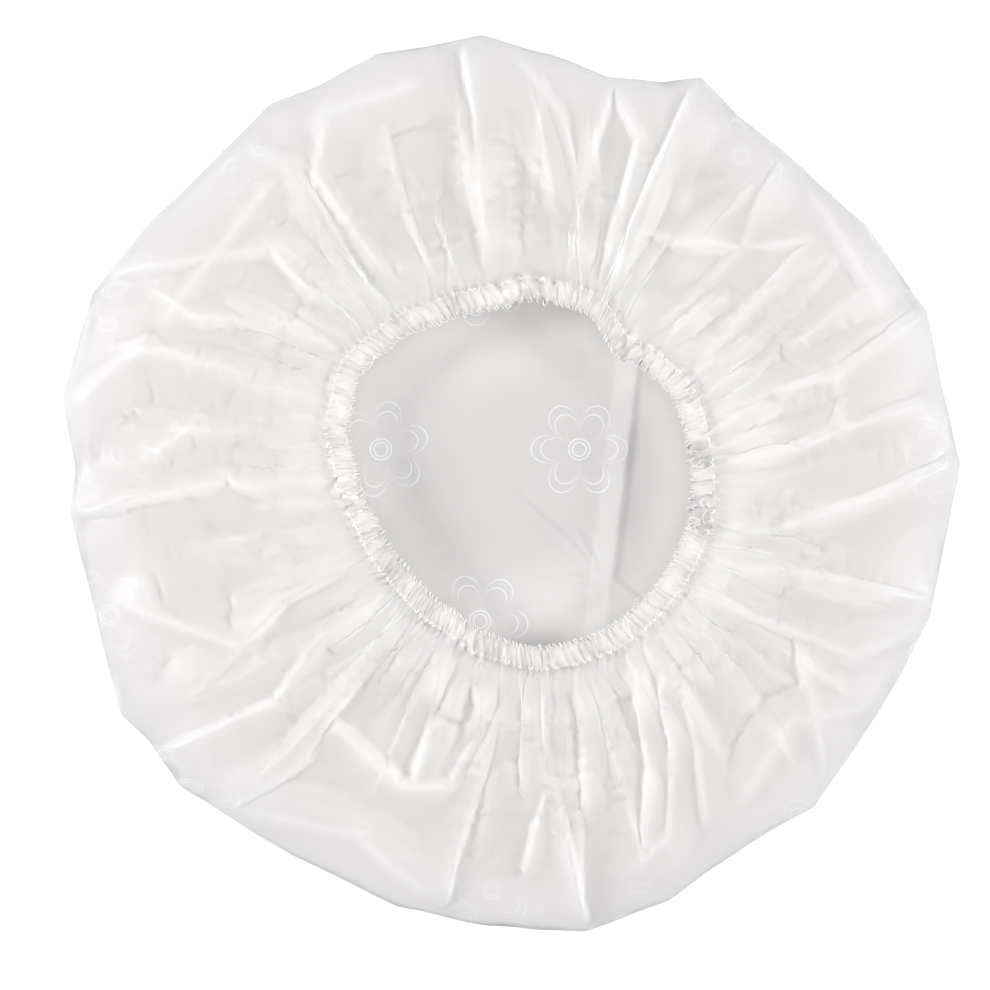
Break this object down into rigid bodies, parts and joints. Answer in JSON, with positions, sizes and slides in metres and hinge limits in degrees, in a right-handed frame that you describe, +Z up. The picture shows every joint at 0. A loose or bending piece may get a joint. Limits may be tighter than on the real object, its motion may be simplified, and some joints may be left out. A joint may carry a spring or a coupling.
{
  "type": "shower cap",
  "caption": "Clear film shower cap lying on its crown, with a creased rim, a gathered skirt and an elastic hem round the open mouth.",
  "frame": {"origin": "middle of the cap's outline, on the surface that the crown lies on", "axes": "+Z up through the mouth; +Y is the top of the cap as seen from above with the mouth towards the viewer, +X its right"},
  "size_m": [0.29, 0.2898, 0.0288],
  "materials": {
    "clear_film": "thin translucent plastic film, soft sheen, creased",
    "woven_elastic": "off-white woven elastic strip"
  },
  "bodies": {
    "root": {"film_cap": "clear_film", "elastic_band": "woven_elastic"}
  },
  "joints": []
}
